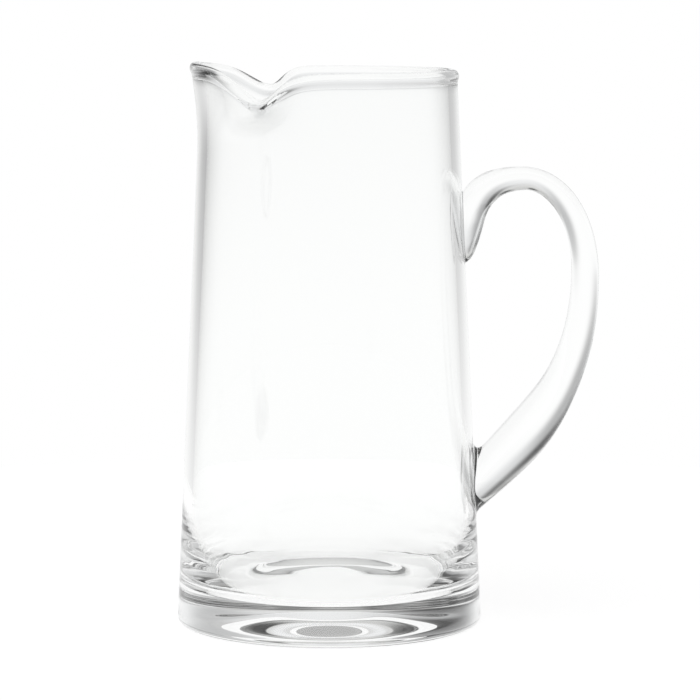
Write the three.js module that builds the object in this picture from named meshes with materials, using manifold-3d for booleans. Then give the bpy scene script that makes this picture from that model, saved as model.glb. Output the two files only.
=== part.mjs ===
// Glass pitcher: a blown, tapered body with a heavy base and a pinched pouring lip,
// and a solid glass handle that was stuck on hot, drawn up into a loop and pressed on again.
// Millimetres, +Z up. The origin is the middle of the foot, on the table.
// The lip pours toward -X and the handle stands at +X.

import * as THREE from 'three';
import { mergeVertices } from 'three/addons/utils/BufferGeometryUtils.js';
import Module from 'manifold-3d';

const wasm = await Module();
wasm.setup();

// Body: heights above the table, radii from the axis
const BODY_HEIGHT = 240;
const FOOT_RADIUS = 66.2;
const RIM_RADIUS = 55;
const WALL = 4.2;
const FOOT_FILLET = 3.4;
const PUNT_RADIUS = 44;
const PUNT_HEIGHT = 6;

// Inside of the base: a level floor, and a heel that curves up from it into the wall
const FLOOR_HEIGHT = 16;
const FLOOR_RADIUS = 51;
const FLOOR_PULL = 4;
const HEEL_HEIGHT = 52;
const HEEL_PULL = 20;

// Rim: the bead that the flame leaves, how fast it thins, and the depth at which it has run out
const BEAD_RADIUS = 2.8;
const BEAD_BLEND = 2.2;
const BEAD_DEPTH = 8;

// Pouring lip: a spout pulled out and up
const SPOUT_REACH = 4.3;
const SPOUT_RISE = 3.2;
const SPOUT_SPREAD = 37;
const SPOUT_DEPTH = 40;

// Pinches beside the spout, pushed in and down by hand, so the two differ a little
const PINCH_DEPTH = 30;
const NEAR_ANGLE = 49;
const NEAR_PUSH = 9;
const NEAR_DIP = 12.3;
const NEAR_SPREAD_FRONT = 13;
const NEAR_SPREAD_BACK = 19.5;
const FAR_ANGLE = 58;
const FAR_PUSH = 5;
const FAR_DIP = 8;
const FAR_SPREAD_FRONT = 14.7;
const FAR_SPREAD_BACK = 11;

// Handle: places of its centreline, measured from the wall, the table and the rim
const SEAT_HEIGHT = 59.8;
const SEAT_SINK = 12;
const SEAT_ANGLE = 42.3;
const SEAT_PULL = 44.5;
const BELLY_REACH = 51.5;
const BELLY_DROP = 41.2;
const BELLY_PULL = 47.5;
const CROWN_REACH = 27.3;
const CROWN_DROP = 46.9;
const TAIL_LENGTH = 36.4;
const TAIL_SINK = 0.5;

// Handle: how far the centreline keeps its direction at belly, crown and tail, as shares of an arch
const ARCH_BELLY_SHARE = 0.65;
const ARCH_CROWN_SHARE = 0.46;
const FOLD_CROWN_SHARE = 0.87;
const FOLD_TAIL_SHARE = 0.6;

// The end of the tail that is rounded off, as a share of the fold
const TIP_SHARE = 0.35;

// Handle: half thickness in its own plane, and half width across it
const ROOT_THICK = 9;
const ROOT_WIDE = 9.6;
const SEAT_THICK = 10.3;
const SEAT_WIDE = 10.8;
const LIMB_THICK = 7.6;
const LIMB_WIDE = 7.8;
const BELLY_THICK = 6;
const BELLY_WIDE = 6;
const ARCH_THICK = 5.3;
const ARCH_WIDE = 5.3;
const CROWN_THICK = 5;
const CROWN_WIDE = 5;
const FOLD_THICK = 6.6;
const FOLD_WIDE = 6.8;
const TAIL_THICK = 7;
const TAIL_WIDE = 7.4;

// The fused seam between handle and wall is kept open by this much
const SEAM_GAP = 0.3;

// Facets
const TURN_STEPS = 88;
const PUNT_STEPS = 8;
const FILLET_STEPS = 4;
const LIP_ROWS = 8;
const NECK_ROWS = 4;
const BEAD_STEPS = 10;
const HEEL_STEPS = 10;
const HANDLE_SIDES = 20;
const LIMB_STEPS = 30;
const ARCH_STEPS = 14;
const TAIL_STEPS = 18;

const { degToRad, radToDeg, lerp, smoothstep } = THREE.MathUtils;
const wallSlope = (FOOT_RADIUS - RIM_RADIUS) / BODY_HEIGHT;
const wallRadius = (z) => FOOT_RADIUS - wallSlope * z;

// A bell of height 1 that falls off over its spread
const bell = (offset, spread) => Math.exp(-((offset / spread) ** 2));

// The points of an arc from one angle to another, in degrees
function arc(x, z, radius, from, to, steps) {
  const points = [];
  for (let i = 0; i <= steps; i += 1) {
    const angle = degToRad(lerp(from, to, i / steps));
    points.push(new THREE.Vector2(x + radius * Math.cos(angle), z + radius * Math.sin(angle)));
  }
  return points;
}

// The hollow under the base, from its apex to the ring that stands on the table
function puntPoints() {
  const points = [];
  for (let i = 0; i <= PUNT_STEPS; i += 1) {
    const share = i / PUNT_STEPS;
    const z = (PUNT_HEIGHT / 2) * (1 + Math.cos(Math.PI * share));
    points.push(new THREE.Vector2(PUNT_RADIUS * share, z));
  }
  return points;
}

// The fillet between the table and the leaning outside of the wall
function footFillet() {
  const x = wallRadius(FOOT_FILLET) - FOOT_FILLET * Math.hypot(1, wallSlope);
  return arc(x, FOOT_FILLET, FOOT_FILLET, -90, radToDeg(Math.atan(wallSlope)), FILLET_STEPS);
}

// A point on the outside (side 1) or inside (side -1) of the wall, which is thicker just below the bead
function wallPoint(z, side) {
  const swell = (BEAD_RADIUS - WALL / 2) * bell(BODY_HEIGHT - BEAD_RADIUS - z, BEAD_BLEND);
  return new THREE.Vector2(wallRadius(z) - WALL / 2 + side * (WALL / 2 + swell), z);
}

// The wall from the foot of the lip up to the bead
function lipPoints(side) {
  const foot = BODY_HEIGHT - SPOUT_DEPTH;
  const neck = BODY_HEIGHT - BEAD_DEPTH;
  const bead = BODY_HEIGHT - BEAD_RADIUS;
  const points = [];
  for (let i = 0; i < LIP_ROWS; i += 1) {
    points.push(wallPoint(lerp(foot, neck, i / LIP_ROWS), side));
  }
  for (let i = 0; i < NECK_ROWS; i += 1) {
    points.push(wallPoint(lerp(neck, bead, i / NECK_ROWS), side));
  }
  return points;
}

// The bead, over the top from the outside to the inside
function beadPoints() {
  const z = BODY_HEIGHT - BEAD_RADIUS;
  return arc(wallRadius(z) - WALL / 2, z, BEAD_RADIUS, 0, 180, BEAD_STEPS);
}

// The heel, from the wall down to the floor
function heelPoints() {
  const curve = new THREE.CubicBezierCurve(
    wallPoint(HEEL_HEIGHT, -1),
    wallPoint(HEEL_HEIGHT - HEEL_PULL, -1),
    new THREE.Vector2(FLOOR_RADIUS + FLOOR_PULL, FLOOR_HEIGHT),
    new THREE.Vector2(FLOOR_RADIUS, FLOOR_HEIGHT),
  );
  return curve.getPoints(HEEL_STEPS);
}

// Half section of the body, from the punt's apex round the outside and the rim to the floor's middle
function bodyProfile() {
  return [
    ...puntPoints(),
    ...footFillet(),
    ...lipPoints(1),
    ...beadPoints(),
    ...lipPoints(-1).reverse(),
    ...heelPoints(),
    new THREE.Vector2(0, FLOOR_HEIGHT),
  ];
}

// How much of a pinch a place on the lip takes, by its angle from the spout
function pinchAt(turn, angle, front, back) {
  return bell(turn - angle, turn < angle ? front : back);
}

// Moves a point of the plain vessel to its place on the pinched lip
function shapeLip(point) {
  const reach = (point.z - (BODY_HEIGHT - SPOUT_DEPTH)) / SPOUT_DEPTH;
  if (reach <= 0) {
    return;
  }
  const radius = Math.hypot(point.x, point.y);
  const turn = Math.abs(radToDeg(Math.atan2(point.y, -point.x)));
  const spout = smoothstep(reach, 0, 1) * bell(turn, SPOUT_SPREAD);
  const grip = smoothstep(point.z, BODY_HEIGHT - PINCH_DEPTH, BODY_HEIGHT);

  let push = NEAR_PUSH;
  let dip = NEAR_DIP;
  let pinch = pinchAt(turn, NEAR_ANGLE, NEAR_SPREAD_FRONT, NEAR_SPREAD_BACK);
  if (point.y >= 0) {
    push = FAR_PUSH;
    dip = FAR_DIP;
    pinch = pinchAt(turn, FAR_ANGLE, FAR_SPREAD_FRONT, FAR_SPREAD_BACK);
  }

  const stretch = (radius + reach * SPOUT_REACH * spout - push * grip * pinch) / radius;
  point.x *= stretch;
  point.y *= stretch;
  point.z += SPOUT_RISE * spout - dip * grip * pinch;
}

function weld(geometry) {
  geometry.deleteAttribute('normal');
  geometry.deleteAttribute('uv');
  return mergeVertices(geometry, 1e-4);
}

// Turns a half section about Z and welds it into one closed skin
function revolve(profile) {
  const geometry = new THREE.LatheGeometry(profile, TURN_STEPS);
  geometry.rotateX(Math.PI / 2);
  return weld(geometry);
}

function makeBody() {
  const geometry = revolve(bodyProfile());
  const position = geometry.getAttribute('position');
  const point = new THREE.Vector3();
  for (let i = 0; i < position.count; i += 1) {
    point.fromBufferAttribute(position, i);
    shapeLip(point);
    position.setXYZ(i, point.x, point.y, point.z);
  }
  return geometry;
}

// Centreline of the handle, in the plane y = 0: lower limb, outer arch, then the fold down to the tail
function handleCurves() {
  const at = (x, z) => new THREE.Vector3(x, 0, z);
  const crownZ = BODY_HEIGHT - CROWN_DROP;
  const bellyZ = crownZ - BELLY_DROP;
  const tailZ = crownZ - TAIL_LENGTH;
  const rise = at(Math.cos(degToRad(SEAT_ANGLE)), Math.sin(degToRad(SEAT_ANGLE)));

  const start = at(wallRadius(SEAT_HEIGHT), SEAT_HEIGHT).addScaledVector(rise, -SEAT_SINK);
  const belly = at(wallRadius(bellyZ) + BELLY_REACH, bellyZ);
  const crown = at(wallRadius(crownZ) + CROWN_REACH, crownZ);
  const tail = at(wallRadius(tailZ) - TAIL_SINK, tailZ);

  const limb = new THREE.CubicBezierCurve3(
    start,
    start.clone().addScaledVector(rise, SEAT_PULL),
    at(belly.x, belly.z - BELLY_PULL),
    belly,
  );
  const arch = new THREE.CubicBezierCurve3(
    belly,
    at(belly.x, lerp(belly.z, crown.z, ARCH_BELLY_SHARE)),
    at(lerp(crown.x, belly.x, ARCH_CROWN_SHARE), crown.z),
    crown,
  );
  const fold = new THREE.CubicBezierCurve3(
    crown,
    at(lerp(crown.x, tail.x, FOLD_CROWN_SHARE), crown.z),
    at(tail.x, lerp(tail.z, crown.z, FOLD_TAIL_SHARE)),
    tail,
  );
  return [limb, arch, fold];
}

// Sizes of the handle at places along it: 0 to 1 is the limb, 2 the crown, 3 the tail's tip
const HANDLE_STATIONS = [
  { along: 0, thick: ROOT_THICK, wide: ROOT_WIDE },
  { along: 0.35, thick: SEAT_THICK, wide: SEAT_WIDE },
  { along: 0.65, thick: LIMB_THICK, wide: LIMB_WIDE },
  { along: 1, thick: BELLY_THICK, wide: BELLY_WIDE },
  { along: 1.5, thick: ARCH_THICK, wide: ARCH_WIDE },
  { along: 2, thick: CROWN_THICK, wide: CROWN_WIDE },
  { along: 2.35, thick: FOLD_THICK, wide: FOLD_WIDE },
  { along: 2.65, thick: TAIL_THICK, wide: TAIL_WIDE },
  { along: 3, thick: TAIL_THICK, wide: TAIL_WIDE },
];

// How fast a size changes at a station, level at both ends of the handle
function stationSlope(index, size) {
  const before = HANDLE_STATIONS[index - 1];
  const after = HANDLE_STATIONS[index + 1];
  if (!before || !after) {
    return 0;
  }
  return (after[size] - before[size]) / (after.along - before.along);
}

// A size of the handle at a place along it, on a smooth curve through the stations
function handleSize(along, size) {
  const next = Math.max(1, HANDLE_STATIONS.findIndex((station) => station.along >= along));
  const before = HANDLE_STATIONS[next - 1];
  const after = HANDLE_STATIONS[next];
  const length = after.along - before.along;
  const share = (along - before.along) / length;
  const rest = 1 - share;
  const start = before[size] * (1 + 2 * share) + stationSlope(next - 1, size) * length * share;
  const end = after[size] * (1 + 2 * rest) - stationSlope(next, size) * length * rest;
  return start * rest ** 2 + end * share ** 2;
}

// How much of its section the handle keeps at a place along it, rounded off toward the tail's tip
function tipShare(along) {
  const rounding = Math.max(0, (along - (3 - TIP_SHARE)) / TIP_SHARE);
  return Math.sqrt(1 - rounding ** 2);
}

// The places along the handle where it has a ring of points, closer together toward the tail's tip
function handlePlaces() {
  const places = [];
  for (let i = 0; i < LIMB_STEPS; i += 1) {
    places.push(i / LIMB_STEPS);
  }
  for (let i = 0; i < ARCH_STEPS; i += 1) {
    places.push(1 + i / ARCH_STEPS);
  }
  for (let i = 0; i < TAIL_STEPS; i += 1) {
    places.push(2 + Math.sin((Math.PI / 2) * (i / TAIL_STEPS)));
  }
  return places;
}

// One oval ring of the handle
function handleRing(curves, along) {
  const curve = curves[Math.floor(along)];
  const centre = curve.getPoint(along % 1);
  const across = new THREE.Vector3(0, 1, 0);
  const outward = curve.getTangent(along % 1).cross(across);
  const thick = tipShare(along) * handleSize(along, 'thick');
  const wide = tipShare(along) * handleSize(along, 'wide');
  const ring = [];
  for (let i = 0; i < HANDLE_SIDES; i += 1) {
    const angle = (2 * Math.PI * i) / HANDLE_SIDES;
    const point = centre.clone();
    point.addScaledVector(outward, thick * Math.cos(angle));
    point.addScaledVector(across, wide * Math.sin(angle));
    ring.push(point);
  }
  return ring;
}

// Oval rings along the centreline, closed by one point at each end
function loftHandle() {
  const curves = handleCurves();
  const places = handlePlaces();
  const points = places.flatMap((along) => handleRing(curves, along));
  const first = points.push(curves[0].getPoint(0)) - 1;
  const last = points.push(curves[2].getPoint(1)) - 1;

  const faces = [];
  for (let i = 0; i < HANDLE_SIDES; i += 1) {
    const j = (i + 1) % HANDLE_SIDES;
    for (let ring = 0; ring < places.length - 1; ring += 1) {
      const low = ring * HANDLE_SIDES;
      const high = low + HANDLE_SIDES;
      faces.push(low + i, high + j, low + j, low + i, high + i, high + j);
    }
    const end = (places.length - 1) * HANDLE_SIDES;
    faces.push(first, i, j);
    faces.push(last, end + j, end + i);
  }
  const geometry = new THREE.BufferGeometry().setFromPoints(points);
  geometry.setIndex(faces);
  return geometry;
}

// The room that the wall takes from the handle: a solid of the vessel's outside, larger by the seam
function wallRoom() {
  return revolve([
    new THREE.Vector2(0, 0),
    new THREE.Vector2(wallRadius(0) + SEAM_GAP, 0),
    new THREE.Vector2(wallRadius(BODY_HEIGHT) + SEAM_GAP, BODY_HEIGHT),
    new THREE.Vector2(0, BODY_HEIGHT),
  ]);
}

function toSolid(geometry) {
  const vertProperties = new Float32Array(geometry.getAttribute('position').array);
  const triVerts = new Uint32Array(geometry.getIndex().array);
  return new wasm.Manifold(new wasm.Mesh({ numProp: 3, vertProperties, triVerts }));
}

function toGeometry(solid) {
  const mesh = solid.getMesh();
  const geometry = new THREE.BufferGeometry();
  geometry.setAttribute('position', new THREE.BufferAttribute(mesh.vertProperties, 3));
  geometry.setIndex(new THREE.BufferAttribute(mesh.triVerts, 1));
  return geometry;
}

function makeHandle() {
  return toGeometry(toSolid(loftHandle()).subtract(toSolid(wallRoom())));
}

function glassPiece(name, geometry) {
  geometry.computeVertexNormals();
  const glass = new THREE.MeshStandardMaterial({
    color: 0xf0f4f3,
    roughness: 0.03,
    metalness: 0,
    transparent: true,
    opacity: 0.35,
  });
  const mesh = new THREE.Mesh(geometry, glass);
  mesh.name = name;
  return mesh;
}

const pitcher = new THREE.Group();
pitcher.add(glassPiece('body', makeBody()));
pitcher.add(glassPiece('handle', makeHandle()));

export default pitcher;
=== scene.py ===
import math

import bpy
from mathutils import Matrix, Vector
from mathutils.geometry import delaunay_2d_cdt


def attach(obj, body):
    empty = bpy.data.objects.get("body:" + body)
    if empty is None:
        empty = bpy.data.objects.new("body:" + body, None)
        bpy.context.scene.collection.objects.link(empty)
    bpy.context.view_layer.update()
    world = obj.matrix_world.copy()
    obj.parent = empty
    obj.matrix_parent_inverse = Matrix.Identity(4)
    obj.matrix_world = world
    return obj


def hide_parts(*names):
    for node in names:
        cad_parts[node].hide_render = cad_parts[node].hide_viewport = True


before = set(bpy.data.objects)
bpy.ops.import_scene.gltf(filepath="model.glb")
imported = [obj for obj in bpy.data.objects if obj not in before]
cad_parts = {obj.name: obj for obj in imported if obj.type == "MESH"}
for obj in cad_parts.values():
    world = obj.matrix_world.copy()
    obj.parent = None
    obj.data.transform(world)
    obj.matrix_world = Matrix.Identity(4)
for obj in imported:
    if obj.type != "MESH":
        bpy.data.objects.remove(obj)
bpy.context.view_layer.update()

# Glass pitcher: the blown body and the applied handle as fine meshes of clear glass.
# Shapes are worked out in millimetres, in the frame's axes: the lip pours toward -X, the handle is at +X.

MM = 0.001

# Body: heights above the table, radii from the axis
BODY_HEIGHT = 240.0
FOOT_RADIUS = 66.2
RIM_RADIUS = 55.0
WALL = 4.2
WALL_SLOPE = (FOOT_RADIUS - RIM_RADIUS) / BODY_HEIGHT
FOOT_FILLET = 3.4
BEAD_RADIUS = 2.8
BEAD_BLEND = 2.2

# Punt under the foot: level inside the radius of its top, then a rounded shoulder
PUNT_RADIUS = 40.0
PUNT_HEIGHT = 5.0
PUNT_TOP = 12.0

# Inside of the base: a level floor, and a heel that curves up from it to the wall
FLOOR_HEIGHT = 16.0
FLOOR_RADIUS = 51.0
FLOOR_PULL = 4.0
HEEL_HEIGHT = 52.0
HEEL_PULL = 20.0

# Chill marks inside the wall above the base: where they start and end, and how far they fade in and out
RIPPLE_FOOT = 24.0
RIPPLE_TOP = 62.0
RIPPLE_FADE_IN = 6.0
RIPPLE_FADE_OUT = 16.0

# Chill marks: (depth, pitch, share of the wander, phase)
RIPPLES = (
    (0.03, 2.6, 1.0, 0.0),
    (0.018, 4.42, -2.0, 1.3),
)

# Wander of the chill marks up and down: (height, waves in a turn, phase)
WANDERS = (
    (1.4, 2, 0.7),
    (0.8, 5, 2.1),
)

# Pouring lip: a spout pulled out and up, between two pinches pushed in and down
SPOUT_REACH = 4.3
SPOUT_RISE = 3.2
SPOUT_SPREAD = 37.0
SPOUT_DEPTH = 40.0
PINCH_DEPTH = 30.0

# Pinches at -Y and +Y: angle from the spout, push inward, dip, spread toward the spout and away from it
NEAR_PINCH = (49.0, 9.0, 12.3, 13.0, 19.5)
FAR_PINCH = (58.0, 5.0, 8.0, 14.7, 11.0)

# Handle: points of its centreline, measured from the wall, the table and the rim
SEAT_HEIGHT = 59.8
SEAT_SINK = 12.0
SEAT_ANGLE = 42.3
SEAT_PULL = 44.5
BELLY_REACH = 51.5
BELLY_DROP = 41.2
BELLY_PULL = 47.5
CROWN_REACH = 27.3
CROWN_DROP = 46.9
TAIL_LENGTH = 36.4
TAIL_SINK = 0.5

# Handle: pulls of its two upper curves, as shares of the way between their ends
ARCH_BELLY_PULL = 0.65
ARCH_CROWN_PULL = 0.46
FOLD_CROWN_PULL = 0.87
FOLD_TAIL_PULL = 0.60

# Handle: a place along it counts the curves of its centreline, from the lower seat to the tip of the tail
AT_SEAT = 0.0
LIMB_CLEAR = 0.7
AT_BELLY = 1.0
ARCH_CLEAR = 1.8
AT_CROWN = 2.0
TAIL_ROUND = 2.65
AT_TIP = 3.0

# Handle: (place along, half thickness in its plane, half width across it)
HANDLE_STATIONS = (
    (AT_SEAT, 9.0, 9.6),
    (0.35, 10.3, 10.8),
    (0.65, 7.6, 7.8),
    (AT_BELLY, 5.99, 6.0),
    (1.5, 5.3, 5.3),
    (AT_CROWN, 5.0, 5.0),
    (2.35, 6.6, 6.8),
    (TAIL_ROUND, 7.0, 7.4),
    (AT_TIP, 7.0, 7.4),
)
THICKNESS_COLUMN = 1
WIDTH_COLUMN = 2
ACROSS = Vector((0.0, 1.0, 0.0))

# Welds of the handle into the wall: their widths over the wall
LOWER_WELD = 0.5
CROOK_WELD = 8.0
CHIN_WELD = 2.4
UPPER_WELD = 0.6

# Mesh of the body: steps are counts, rows are distances
TURN_STEPS = 240
PUNT_STEPS = 40
FILLET_STEPS = 10
CREST_STEPS = 20
HEEL_STEPS = 40
FOOT_ROW = 3.0
WALL_ROW = 1.2
BEAD_ROW = 0.5
BEAD_ROWS_DEPTH = 8.0
FLOOR_ROW = 2.0

# Mesh of the handle, and the steps of the searches along it
HANDLE_SIDES = 48
HANDLE_ROWS = 120
WELD_ROWS = 8
CROSSING_STEPS = 200
CROSSING_HALVINGS = 50
WALK_STEPS = 400

# Mesh of the seats: windows of the wall's grid that are filled anew
WINDOW_MARGIN = 4.0
WINDOW_COLUMNS = 2
FILL_GAP = 0.8 * WALL_ROW
MERGE_GAP = 1e-6
ALL_TRIANGLES = 0

# Sides of the wall, and the marks of faces, which number a piece's materials
OUTSIDE = 1
INSIDE = -1
SKIN_FACE = 0
SEAT_FACE = 1

# Glass: its tint, and what is left of light after each turn inside it, when the free turns are used up
GLASS_TINT = (0.993, 0.997, 0.994, 1.0)
GLASS_INDEX = 1.5
FREE_TURNS = 4.0
LONG_WAY = 0.93

# Studio: the light that glass sees, by the sine of its height
STUDIO_STOPS = (
    (-0.10, (1.0, 1.0, 1.0)),
    (-0.04, (0.98, 0.98, 0.98)),
    (0.06, (0.90, 0.905, 0.91)),
    (0.20, (0.82, 0.825, 0.83)),
    (0.34, (0.72, 0.72, 0.72)),
    (0.50, (0.66, 0.66, 0.65)),
    (1.0, (0.42, 0.42, 0.42)),
)

# Dark cloths behind the pitcher: degrees round from straight behind, plus on the handle's side,
# their spread, degrees up, their spread, and the share of the light that they take
CLOTHS = (
    (-42.0, 30.0, 18.0, 9.0, 0.98),
    (-36.0, 26.0, 4.5, 11.0, 0.55),
    (36.0, 24.0, 5.0, 11.0, 0.42),
    (38.0, 16.0, 24.0, 12.0, 0.25),
    (-29.0, 14.0, 40.0, 12.0, 0.98),
    (20.0, 13.0, 44.0, 11.0, 0.97),
)

# Dark flags above both sides, by the sines of height and of the turn to the side
FLAG_DEPTH = 0.97
FLAG_LOW = 0.22
FLAG_HIGH = 0.5
FLAG_WIDE = 0.72
FLAG_CORE = 0.92

# Stage: the floor that the pitcher stands on, and its light
STAGE_RADIUS = 500.0
STAGE_DROP = 0.2
STAGE_SIDES = 64
STAGE_GREY = 0.8
STAGE_GLOW = 0.88
AMBIENT = 0.08
KEY_LIGHT = 0.3
KEY_SPREAD = 70.0
KEY_TILT = (30.0, -25.0, 0.0)

# Camera: the photograph's own place, worked out from the ellipses of rim and foot
CAMERA_AWAY = 1506.0
CAMERA_HEIGHT = 287.4
CAMERA_PITCH = 6.39
SENSOR_WIDTH = 36.0
IMAGE_WIDTH = 700
FOCAL_PIXELS = 3500.0
AXIS_PIXEL = 329.0

# Light paths: long enough for rays that are caught in the glass
GLASS_BOUNCES = 128
SEAM_BOUNCES = 32


def wall_radius(z):
    return FOOT_RADIUS - WALL_SLOPE * z


def lerp(a, b, share):
    return a + (b - a) * share


def smoothstep(value, low, high):
    share = min(1.0, max(0.0, (value - low) / (high - low)))
    return share * share * (3.0 - 2.0 * share)


def bell(offset, spread):
    return math.exp(-((offset / spread) ** 2))


def full_turn(count):
    """Angles of a full turn in equal steps."""
    return [2 * math.pi * i / count for i in range(count)]


def spaced(low, high, step):
    """Values from low to high, ends left out, about one step apart."""
    count = max(2, round((high - low) / step))
    return [lerp(low, high, i / count) for i in range(1, count)]


def bezier(points, share):
    a, b, c, d = points
    rest = 1.0 - share
    return a * rest ** 3 + b * (3 * rest ** 2 * share) + c * (3 * rest * share ** 2) + d * share ** 3


def bezier_slope(points, share):
    a, b, c, d = points
    rest = 1.0 - share
    return (b - a) * (3 * rest ** 2) + (c - b) * (6 * rest * share) + (d - c) * (3 * share ** 2)


def blend(a, corner, b, share):
    """A point of the curve that leaves a and reaches b along the two sides of a corner."""
    rest = 1.0 - share
    return a * rest ** 2 + corner * (2 * rest * share) + b * share ** 2


# Body

def arc(x, z, radius, start, end, steps):
    """Points of an arc between two angles in degrees."""
    angles = [math.radians(lerp(start, end, i / steps)) for i in range(steps + 1)]
    return [(x + radius * math.cos(a), z + radius * math.sin(a)) for a in angles]


def punt():
    """The hollow under the foot, from its middle outward."""
    radii = [PUNT_RADIUS * i / PUNT_STEPS for i in range(PUNT_STEPS + 1)]
    return [(r, PUNT_HEIGHT * (1.0 - smoothstep(r, PUNT_TOP, PUNT_RADIUS))) for r in radii]


def foot_edge():
    """The rounded edge between the foot's flat ring and the leaning wall."""
    centre_x = wall_radius(FOOT_FILLET) - FOOT_FILLET * math.hypot(1.0, WALL_SLOPE)
    lean = math.degrees(math.atan(WALL_SLOPE))
    return arc(centre_x, FOOT_FILLET, FOOT_FILLET, -90.0, lean, FILLET_STEPS)


def rim_half(depth):
    """Half thickness of the wall at a depth below the rim's crest."""
    if depth < BEAD_RADIUS:
        return math.sqrt(max(0.0, BEAD_RADIUS ** 2 - (BEAD_RADIUS - depth) ** 2))
    return WALL / 2 + (BEAD_RADIUS - WALL / 2) * bell(depth - BEAD_RADIUS, BEAD_BLEND)


def wall_point(z, side):
    """A point of the outside or inside face of the wall."""
    middle = wall_radius(z) - WALL / 2
    return (middle + side * rim_half(BODY_HEIGHT - z), z)


def heel():
    """The soft curve inside the base, from the wall down to the floor."""
    top, pulled = (Vector(wall_point(z, INSIDE)) for z in (HEEL_HEIGHT, HEEL_HEIGHT - HEEL_PULL))
    floor = Vector((FLOOR_RADIUS, FLOOR_HEIGHT))
    curve = (top, pulled, floor + Vector((FLOOR_PULL, 0.0)), floor)
    return [tuple(bezier(curve, i / HEEL_STEPS)) for i in range(HEEL_STEPS + 1)]


def body_profile():
    """Half section from the punt's middle round to the floor's middle, and the rows that are outer wall."""
    foot = foot_edge()
    bead_foot = BODY_HEIGHT - BEAD_ROWS_DEPTH
    bead_z = BODY_HEIGHT - BEAD_RADIUS
    bead_x = wall_radius(bead_z) - WALL / 2
    bead_heights = spaced(bead_foot, bead_z, BEAD_ROW)

    profile = punt()
    profile += [(r, 0.0) for r in spaced(PUNT_RADIUS, foot[0][0], FOOT_ROW)]
    profile += foot
    first_wall = len(profile)
    profile += [wall_point(z, OUTSIDE) for z in spaced(foot[-1][1], bead_foot, WALL_ROW)]
    wall_rows = range(first_wall, len(profile))
    profile += [wall_point(z, OUTSIDE) for z in bead_heights]
    profile += arc(bead_x, bead_z, BEAD_RADIUS, 0.0, 180.0, CREST_STEPS)
    profile += [wall_point(z, INSIDE) for z in reversed(bead_heights)]
    profile += [wall_point(z, INSIDE) for z in reversed(spaced(HEEL_HEIGHT, bead_foot, WALL_ROW))]
    profile += heel()
    profile += [(r, FLOOR_HEIGHT) for r in reversed(spaced(0.0, FLOOR_RADIUS, FLOOR_ROW))]
    profile.append((0.0, FLOOR_HEIGHT))
    return profile, wall_rows


def shape_lip(x, y, z):
    """Moves a point of the plain vessel to its place on the pinched lip."""
    reach = (z - (BODY_HEIGHT - SPOUT_DEPTH)) / SPOUT_DEPTH
    if reach <= 0.0:
        return (x, y, z)
    pull = smoothstep(reach, 0.0, 1.0)
    grip = smoothstep(z, BODY_HEIGHT - PINCH_DEPTH, BODY_HEIGHT)
    radius = math.hypot(x, y)
    turn = abs(math.degrees(math.atan2(y, -x)))
    angle, push, dip, front, back = NEAR_PINCH if y < 0.0 else FAR_PINCH
    pinch = grip * bell(turn - angle, front if turn < angle else back)
    spout = pull * bell(turn, SPOUT_SPREAD)
    stretch = (radius + reach * SPOUT_REACH * spout - push * pinch) / radius
    return (x * stretch, y * stretch, z + SPOUT_RISE * spout - dip * pinch)


def ripple(turn, z):
    """Depth of the chill marks that the mould leaves inside the wall above the base."""
    fade_in = smoothstep(z, RIPPLE_FOOT, RIPPLE_FOOT + RIPPLE_FADE_IN)
    fade_out = 1.0 - smoothstep(z, RIPPLE_TOP - RIPPLE_FADE_OUT, RIPPLE_TOP)
    wander = sum(height * math.sin(waves * turn + phase) for height, waves, phase in WANDERS)
    marks = sum(
        depth * math.sin(2 * math.pi * (z + share * wander) / pitch + phase)
        for depth, pitch, share, phase in RIPPLES
    )
    return fade_in * fade_out * marks


# Handle

def handle_curves():
    """Centreline in the plane y = 0: lower limb, outer arch, then the fold down to the tail."""
    def at(x, z):
        return Vector((x, 0.0, z))

    crown_z = BODY_HEIGHT - CROWN_DROP
    belly_z = crown_z - BELLY_DROP
    tail_z = crown_z - TAIL_LENGTH
    rise = at(math.cos(math.radians(SEAT_ANGLE)), math.sin(math.radians(SEAT_ANGLE)))
    start = at(wall_radius(SEAT_HEIGHT), SEAT_HEIGHT) - rise * SEAT_SINK
    belly = at(wall_radius(belly_z) + BELLY_REACH, belly_z)
    crown = at(wall_radius(crown_z) + CROWN_REACH, crown_z)
    tail = at(wall_radius(tail_z) - TAIL_SINK, tail_z)
    limb = (start, start + rise * SEAT_PULL, at(belly.x, belly.z - BELLY_PULL), belly)
    arch = (
        belly,
        at(belly.x, lerp(belly.z, crown.z, ARCH_BELLY_PULL)),
        at(lerp(crown.x, belly.x, ARCH_CROWN_PULL), crown.z),
        crown,
    )
    fold = (
        crown,
        at(lerp(crown.x, tail.x, FOLD_CROWN_PULL), crown.z),
        at(tail.x, lerp(tail.z, crown.z, FOLD_TAIL_PULL)),
        tail,
    )
    return (limb, arch, fold)


HANDLE_CURVES = handle_curves()


def station_slope(index, column):
    """How fast a size changes at a station, level at both ends of the handle."""
    if index in (0, len(HANDLE_STATIONS) - 1):
        return 0.0
    before, after = HANDLE_STATIONS[index - 1], HANDLE_STATIONS[index + 1]
    return (after[column] - before[column]) / (after[0] - before[0])


def handle_size(along, column):
    """A size of the handle at a place along it, on a smooth curve through the stations."""
    after = next(i for i, s in enumerate(HANDLE_STATIONS) if s[0] >= along and i > 0)
    low, high = HANDLE_STATIONS[after - 1], HANDLE_STATIONS[after]
    length = high[0] - low[0]
    share = (along - low[0]) / length
    rest = 1.0 - share
    start = low[column] * (1.0 + 2.0 * share) + station_slope(after - 1, column) * length * share
    end = high[column] * (1.0 + 2.0 * rest) - station_slope(after, column) * length * rest
    return start * rest ** 2 + end * share ** 2


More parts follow.
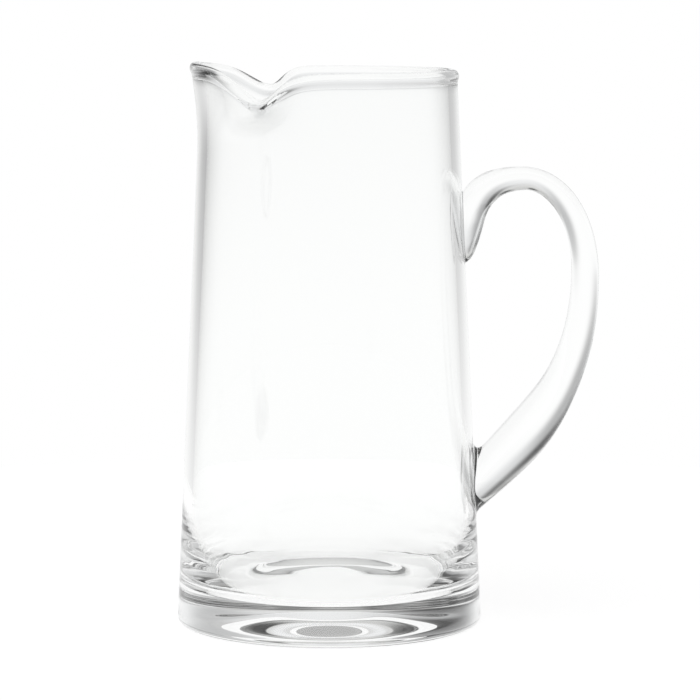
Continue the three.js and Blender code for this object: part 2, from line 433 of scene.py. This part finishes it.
def handle_section(along):
    """Half thickness and half width of the handle at a place along it, rounded off at the tail's tip."""
    rounding = max(0.0, (along - TAIL_ROUND) / (AT_TIP - TAIL_ROUND))
    tip = math.sqrt(max(0.0, 1.0 - rounding ** 2))
    return tip * handle_size(along, THICKNESS_COLUMN), tip * handle_size(along, WIDTH_COLUMN)


def handle_point(along, turn):
    """A point of the handle's skin."""
    index = min(len(HANDLE_CURVES) - 1, int(along))
    share = along - index
    centre = bezier(HANDLE_CURVES[index], share)
    outward = bezier_slope(HANDLE_CURVES[index], share).normalized().cross(ACROSS)
    thick, wide = handle_section(along)
    return centre + outward * (thick * math.cos(turn)) + ACROSS * (wide * math.sin(turn))


def off_wall(point):
    """How far a point lies outside the wall."""
    return math.hypot(point.x, point.y) - wall_radius(point.z)


def on_wall(point):
    """The point moved straight in or out onto the wall's outside."""
    scale = wall_radius(point.z) / math.hypot(point.x, point.y)
    return Vector((point.x * scale, point.y * scale, point.z))


def wall_crossing(turn, outside, inside):
    """Where a lengthwise line of the handle's skin goes into the wall."""
    for _ in range(CROSSING_HALVINGS):
        middle = (outside + inside) / 2
        if off_wall(handle_point(middle, turn)) > 0.0:
            outside = middle
        else:
            inside = middle
    return outside


def first_crossing(turn, start, end):
    """As wall_crossing, for the first time that the line meets the wall on its way from start to end."""
    last = start
    for i in range(1, CROSSING_STEPS + 1):
        along = lerp(start, end, i / CROSSING_STEPS)
        if off_wall(handle_point(along, turn)) <= 0.0:
            return wall_crossing(turn, last, along)
        last = along
    return end


def walk(turn, start, end, distance):
    """The place along one line of the skin that lies a distance on from start, toward end."""
    travelled, last, along = 0.0, handle_point(start, turn), start
    for i in range(1, WALK_STEPS + 1):
        along = lerp(start, end, i / WALK_STEPS)
        point = handle_point(along, turn)
        travelled += (point - last).length
        last = point
        if travelled >= distance:
            break
    return along


def lower_weld(turn):
    """Width of the weld round the lower seat: widest in the crook of the loop, least at both sides."""
    crook = max(0.0, math.cos(turn)) ** 2
    chin = max(0.0, -math.cos(turn)) ** 2
    return LOWER_WELD + (CROOK_WELD - LOWER_WELD) * crook + (CHIN_WELD - LOWER_WELD) * chin


def weld_loop(corners, welds):
    """The corners where skin and wall would meet, moved out over the wall by the weld's width there."""
    middle = sum(corners, Vector()) / len(corners)
    loop = []
    for i, corner in enumerate(corners):
        ahead = corners[(i + 1) % len(corners)] - corners[i - 1]
        normal = Vector((corner.x, corner.y, FOOT_RADIUS * WALL_SLOPE)).normalized()
        out = ahead.cross(normal).normalized()
        if out.dot(corner - middle) < 0.0:
            out.negate()
        loop.append(on_wall(corner + out * welds[i]))
    return loop


def handle_lines():
    """Lengthwise rows of the handle from weld to weld, and the two loops where it joins the wall."""
    turns = full_turn(HANDLE_SIDES)
    low = [wall_crossing(t, LIMB_CLEAR, AT_SEAT) for t in turns]
    high = [first_crossing(t, AT_CROWN, AT_TIP) for t in turns]
    low_corner = [handle_point(a, t) for a, t in zip(low, turns)]
    high_corner = [handle_point(a, t) for a, t in zip(high, turns)]
    low_weld = [lower_weld(t) for t in turns]
    high_weld = [UPPER_WELD] * HANDLE_SIDES
    low_loop = weld_loop(low_corner, low_weld)
    high_loop = weld_loop(high_corner, high_weld)

    lines = []
    for i, turn in enumerate(turns):
        start = walk(turn, low[i], AT_BELLY, low_weld[i])
        end = walk(turn, high[i], ARCH_CLEAR, high_weld[i])
        first, last = handle_point(start, turn), handle_point(end, turn)
        places = [lerp(start, end, k / (HANDLE_ROWS - 1)) for k in range(HANDLE_ROWS)]
        line = [blend(low_loop[i], low_corner[i], first, k / WELD_ROWS) for k in range(WELD_ROWS)]
        line += [handle_point(along, turn) for along in places]
        line += [blend(last, high_corner[i], high_loop[i], (k + 1) / WELD_ROWS) for k in range(WELD_ROWS)]
        lines.append(line)
    return lines, low_loop, high_loop


# Meshes

def grid_index(row, column):
    """Number of a point of the body's grid, whose first row lies round the punt's middle."""
    return (row - 1) * TURN_STEPS + column % TURN_STEPS


def seat_window(loop, wall_rows, heights):
    """The rows and columns of the wall's grid round a seat, where columns count from the handle's plane."""
    low = min(p.z for p in loop) - WINDOW_MARGIN
    high = max(p.z for p in loop) + WINDOW_MARGIN
    rows = [r for r in wall_rows if low < heights[r] < high]
    wide = max(math.atan2(abs(p.y), p.x) for p in loop)
    reach = math.ceil(wide / (2 * math.pi) * TURN_STEPS) + WINDOW_COLUMNS
    return rows, list(range(-reach, reach + 1))


def in_window(row, column, rows, columns):
    """True if the square that starts at a point of the grid lies in a window."""
    if column >= TURN_STEPS // 2:
        column -= TURN_STEPS
    return rows[0] <= row < rows[-1] and columns[0] <= column < columns[-1]


def within(spot, outline):
    """True if a flat point lies inside an outline."""
    odd = False
    for i, a in enumerate(outline):
        b = outline[i - 1]
        if (a.y > spot.y) != (b.y > spot.y):
            if spot.x < a.x + (spot.y - a.y) / (b.y - a.y) * (b.x - a.x):
                odd = not odd
    return odd


def ring_edges(first, count):
    """Edges of a closed ring of points that are numbered from first."""
    return [(first + i, first + (i + 1) % count) for i in range(count)]


def seat_patch(loop, rows, columns, place):
    """Fills a window of the wall's grid with triangles that follow a loop on the wall.

    Returns the points that the patch adds, its triangles and, for each, whether it lies inside the loop.
    A corner of a triangle is ("grid", index), ("loop", index) or ("fill", index)."""
    scale = wall_radius(loop[0].z)

    def flat(point):
        return Vector((scale * math.atan2(point.y, point.x), point.z))

    border = [(rows[0], c) for c in columns]
    border += [(r, columns[-1]) for r in rows[1:]]
    border += [(rows[-1], c) for c in reversed(columns[:-1])]
    border += [(r, columns[0]) for r in reversed(rows[1:-1])]
    outline = [flat(p) for p in loop]
    names = [("grid", grid_index(*b)) for b in border] + [("loop", i) for i in range(len(loop))]
    coords = [flat(place(*b)) for b in border] + outline
    edges = ring_edges(0, len(border)) + ring_edges(len(border), len(loop))

    fills = []
    for row in rows[1:-1]:
        for column in columns[1:-1]:
            point = place(row, column)
            spot = flat(point)
            if min((spot - o).length for o in outline) > FILL_GAP:
                names.append(("fill", len(fills)))
                coords.append(spot)
                fills.append(point)

    spots, _, found, sources, _, _ = delaunay_2d_cdt(coords, edges, [], ALL_TRIANGLES, MERGE_GAP)
    triangles = [[names[sources[v][0]] for v in face] for face in found]
    middles = [sum((spots[v] for v in face), Vector((0.0, 0.0))) / len(face) for face in found]
    return fills, triangles, [within(middle, outline) for middle in middles]


def body_mesh(loops):
    """The body's points and faces, with the two seats of the handle let into its outside.

    Returns points, faces, the mark of each face, and each seat's triangles and added points."""
    profile, wall_rows = body_profile()
    heights = [z for _, z in profile]
    crest = heights.index(max(heights))
    last_row = len(profile) - 1

    def place(row, column):
        turn = 2 * math.pi * column / TURN_STEPS
        radius, z = profile[row]
        if row > crest:
            radius += ripple(turn, z)
        return Vector(shape_lip(radius * math.cos(turn), radius * math.sin(turn), z))

    points = [place(row, column) for row in range(1, last_row) for column in range(TURN_STEPS)]
    under = len(points)
    floor = under + 1
    points += [Vector((0.0, 0.0, heights[0])), Vector((0.0, 0.0, heights[-1]))]

    faces, marks, windows, caps = [], [], [], []
    for loop in loops:
        rows, columns = seat_window(loop, wall_rows, heights)
        fills, triangles, inside = seat_patch(loop, rows, columns, place)
        first = {"grid": 0, "loop": len(points), "fill": len(points) + len(loop)}
        points += loop + fills
        faces += [[first[kind] + index for kind, index in corners] for corners in triangles]
        marks += [SEAT_FACE if is_seat else SKIN_FACE for is_seat in inside]
        caps.append(([corners for corners, is_seat in zip(triangles, inside) if is_seat], fills))
        windows.append((rows, columns))

    for column in range(TURN_STEPS):
        faces.append([under, grid_index(1, column + 1), grid_index(1, column)])
        faces.append([floor, grid_index(last_row - 1, column), grid_index(last_row - 1, column + 1)])
        for row in range(1, last_row - 1):
            if not any(in_window(row, column, *window) for window in windows):
                faces.append([
                    grid_index(row, column),
                    grid_index(row, column + 1),
                    grid_index(row + 1, column + 1),
                    grid_index(row + 1, column),
                ])
    marks += [SKIN_FACE] * (len(faces) - len(marks))
    return points, faces, marks, caps


def handle_mesh(lines, caps):
    """The handle's points, faces and marks, closed at both ends by the seats' triangles."""
    length = len(lines[0])
    points = [p for line in lines for p in line]
    faces = []
    for i in range(HANDLE_SIDES):
        here = i * length
        beside = (i + 1) % HANDLE_SIDES * length
        faces += [[here + k, here + k + 1, beside + k + 1, beside + k] for k in range(length - 1)]
    marks = [SKIN_FACE] * len(faces)
    for (cap, fills), row in zip(caps, (0, length - 1)):
        fill_start = len(points)
        points += fills
        for corners in cap:
            faces.append([
                fill_start + index if kind == "fill" else index * length + row
                for kind, index in reversed(corners)
            ])
        marks += [SEAT_FACE] * len(cap)
    return points, faces, marks


def used_only(points, faces):
    """Drops the points that no face uses."""
    used = sorted({i for face in faces for i in face})
    place = {old: new for new, old in enumerate(used)}
    return [points[i] for i in used], [[place[i] for i in face] for face in faces]


def add_object(name, data):
    """A new object in the scene."""
    item = bpy.data.objects.new(name, data)
    bpy.context.collection.objects.link(item)
    return item


def make_piece(name, points, faces, marks, materials):
    """A smooth object in metres, with a crease between a piece's skin and its seats."""
    points, faces = used_only(points, faces)
    mesh = bpy.data.meshes.new(name)
    mesh.from_pydata([p * MM for p in points], [], faces)
    for material in materials:
        mesh.materials.append(material)
    mesh.polygons.foreach_set("material_index", marks)
    mesh.shade_smooth()
    sides = {}
    for polygon in mesh.polygons:
        for key in polygon.edge_keys:
            sides.setdefault(key, set()).add(polygon.material_index)
    for edge in mesh.edges:
        edge.use_edge_sharp = len(sides[edge.key]) > 1
    mesh.update()
    return add_object(name, mesh)


# Materials

class Graph:
    """The nodes of a material or of the world, emptied but for its output."""

    def __init__(self, owner, output):
        owner.use_nodes = True
        self.tree = owner.node_tree
        self.tree.nodes.clear()
        self.output = self.node(output)

    def node(self, kind, inputs=None, **settings):
        """A new node with its settings made and its inputs fed."""
        node = self.tree.nodes.new("ShaderNode" + kind)
        for name, value in settings.items():
            setattr(node, name, value)
        for name, value in (inputs or {}).items():
            self.feed(node.inputs[name], value)
        return node

    def feed(self, socket, value):
        """Links an input to another node's result, or sets it to a number or a colour."""
        if isinstance(value, bpy.types.NodeSocket):
            self.tree.links.new(value, socket)
        else:
            socket.default_value = value

    def math(self, operation, *values):
        node = self.node("Math", operation=operation)
        for socket, value in zip(node.inputs, values):
            self.feed(socket, value)
        return node.outputs[0]

    def ease(self, value, low, high):
        """A value eased from 0 at low to 1 at high."""
        inputs = {"Value": value, "From Min": low, "From Max": high}
        return self.node("MapRange", inputs, interpolation_type="SMOOTHSTEP").outputs["Result"]

    def mix(self, factor, a, b, blend_type="MIX"):
        """Two colours mixed by a factor, with nothing of b where it is 0."""
        inputs = {"Factor": factor, "A": a, "B": b}
        return self.node("Mix", inputs, data_type="RGBA", blend_type=blend_type).outputs["Result"]


def grey(level):
    return (level, level, level, 1.0)


def new_material(name):
    material = bpy.data.materials.new(name)
    return material, Graph(material, "OutputMaterial")


def clear_glass():
    """Blown glass: clear and smooth, with a faint green tint."""
    material, graph = new_material("clear_glass")
    inputs = {"Base Color": GLASS_TINT, "Roughness": 0.0, "IOR": GLASS_INDEX, "Transmission Weight": 1.0}
    shader = graph.node("BsdfPrincipled", inputs)
    graph.feed(graph.output.inputs["Surface"], shader.outputs["BSDF"])
    return material


def fused_seam():
    """The seam inside fused glass, which doesn't show."""
    material, graph = new_material("fused_seam")
    shader = graph.node("BsdfTransparent")
    graph.feed(graph.output.inputs["Surface"], shader.outputs["BSDF"])
    return material


def long_way(graph, path):
    """What is left of light that is thrown to and fro inside the glass, a little less each time."""
    over = graph.math("SUBTRACT", path.outputs["Glossy Depth"], FREE_TURNS)
    return graph.math("POWER", LONG_WAY, graph.math("MAXIMUM", over, 0.0))


def floor_paint():
    """White floor: lit by the lamp, and topped up to white for the eye, for mirrors and through glass."""
    material, graph = new_material("floor_paint")
    path = graph.node("LightPath")
    seen = graph.math("SUBTRACT", 1.0, path.outputs["Is Diffuse Ray"])
    strength = graph.math("MULTIPLY", seen, STAGE_GLOW)
    strength = graph.math("MULTIPLY", strength, long_way(graph, path))
    diffuse = graph.node("BsdfDiffuse", {"Color": grey(STAGE_GREY)})
    glow = graph.node("Emission", {"Strength": strength})
    both = graph.node("AddShader")
    for socket, shader in zip(both.inputs, (diffuse, glow)):
        graph.feed(socket, shader.outputs[0])
    graph.feed(graph.output.inputs["Surface"], both.outputs[0])
    return material


# Studio

def sky_colour(graph, sine):
    """The studio's light before cloths and flags, by the sine of its height."""
    ramp = graph.node("ValToRGB")
    elements = ramp.color_ramp.elements
    while len(elements) < len(STUDIO_STOPS):
        elements.new(0.5)
    for element, (stop, colour) in zip(elements, STUDIO_STOPS):
        element.position = (stop + 1.0) / 2
        element.color = (*colour, 1.0)
    graph.feed(ramp.inputs[0], graph.math("MULTIPLY_ADD", sine, 0.5, 0.5))
    return ramp.outputs["Color"]


def past_cloth(graph, azimuth, height, cloth):
    """What a soft dark cloth leaves of the light that comes from a direction."""
    turn, turn_spread, rise, rise_spread, depth = cloth
    across = graph.math("SUBTRACT", azimuth, math.radians(turn))
    across = graph.math("DIVIDE", across, math.radians(turn_spread))
    up = graph.math("SUBTRACT", height, math.radians(rise))
    up = graph.math("DIVIDE", up, math.radians(rise_spread))
    square = graph.math("MULTIPLY", across, across)
    square = graph.math("MULTIPLY_ADD", up, up, square)
    fall = graph.math("MULTIPLY", square, square)
    shade = graph.math("EXPONENT", graph.math("MULTIPLY", fall, -1.0))
    return graph.math("MULTIPLY_ADD", shade, -depth, 1.0)


def past_flags(graph, azimuth, sine):
    """What the dark flags above both sides leave of the light that comes from a direction."""
    sideways = graph.math("ABSOLUTE", graph.math("SINE", azimuth))
    turn = graph.ease(sideways, FLAG_WIDE, FLAG_CORE)
    rise = graph.ease(sine, FLAG_LOW, FLAG_HIGH)
    flag = graph.math("MULTIPLY", turn, rise)
    return graph.math("MULTIPLY_ADD", flag, -FLAG_DEPTH, 1.0)


def make_world():
    """White backdrop for the eye, even light for the floor, and a studio with dark cloths for the glass."""
    world = bpy.data.worlds.new("studio")
    bpy.context.scene.world = world
    graph = Graph(world, "OutputWorld")
    coords = graph.node("TexCoord")
    split = graph.node("SeparateXYZ")
    graph.feed(split.inputs[0], coords.outputs["Generated"])
    path = graph.node("LightPath")
    sine = split.outputs["Z"]
    azimuth = graph.math("ARCTAN2", split.outputs["X"], split.outputs["Y"])
    height = graph.math("ARCSINE", sine)

    left = 1.0
    for cloth in CLOTHS:
        left = graph.math("MULTIPLY", past_cloth(graph, azimuth, height, cloth), left)
    left = graph.math("MULTIPLY", left, past_flags(graph, azimuth, sine))
    left = graph.math("MULTIPLY", left, long_way(graph, path))
    studio = graph.mix(1.0, sky_colour(graph, sine), left, "MULTIPLY")

    off_floor = graph.math("GREATER_THAN", path.outputs["Diffuse Depth"], 0.5)
    lit = graph.mix(off_floor, studio, grey(AMBIENT))
    seen = graph.mix(path.outputs["Is Camera Ray"], lit, grey(1.0))
    background = graph.node("Background", {"Color": seen})
    graph.feed(graph.output.inputs["Surface"], background.outputs[0])


def make_floor():
    mesh = bpy.data.meshes.new("floor")
    turns = full_turn(STAGE_SIDES)
    rim = [(STAGE_RADIUS * math.cos(t), STAGE_RADIUS * math.sin(t), -STAGE_DROP) for t in turns]
    mesh.from_pydata([Vector(p) * MM for p in rim], [], [list(range(STAGE_SIDES))])
    mesh.materials.append(floor_paint())
    floor = add_object("floor", mesh)


def make_lamp():
    """A soft sun for the floor, which the glass doesn't mirror."""
    lamp = bpy.data.lights.new("soft_key", "SUN")
    lamp.energy = KEY_LIGHT
    lamp.angle = math.radians(KEY_SPREAD)
    key = add_object("soft_key", lamp)
    key.rotation_euler = [math.radians(tilt) for tilt in KEY_TILT]
    key.visible_glossy = False
    key.visible_transmission = False


def make_camera():
    data = bpy.data.cameras.new("camera")
    data.sensor_width = SENSOR_WIDTH
    data.lens = SENSOR_WIDTH * FOCAL_PIXELS / IMAGE_WIDTH
    camera = add_object("camera", data)
    camera.location = Vector((0.0, -CAMERA_AWAY, CAMERA_HEIGHT)) * MM
    yaw = math.atan((IMAGE_WIDTH / 2 - AXIS_PIXEL) / FOCAL_PIXELS)
    camera.rotation_euler = (math.radians(90.0 - CAMERA_PITCH), 0.0, -yaw)
    bpy.context.scene.camera = camera


def make_pitcher():
    materials = (clear_glass(), fused_seam())
    lines, low_loop, high_loop = handle_lines()
    points, faces, marks, caps = body_mesh((low_loop, high_loop))
    body = make_piece("body_glass", points, faces, marks, materials)
    handle = make_piece("handle_glass", *handle_mesh(lines, caps), materials)
    for piece, node in ((body, "body"), (handle, "handle")):
        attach(piece, "root")
        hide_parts(node)


make_camera()
make_pitcher()
make_floor()
make_lamp()
make_world()

scene = bpy.context.scene
scene.view_settings.view_transform = "Standard"
scene.cycles.max_bounces = GLASS_BOUNCES
scene.cycles.transmission_bounces = GLASS_BOUNCES
scene.cycles.glossy_bounces = GLASS_BOUNCES
scene.cycles.transparent_max_bounces = SEAM_BOUNCES
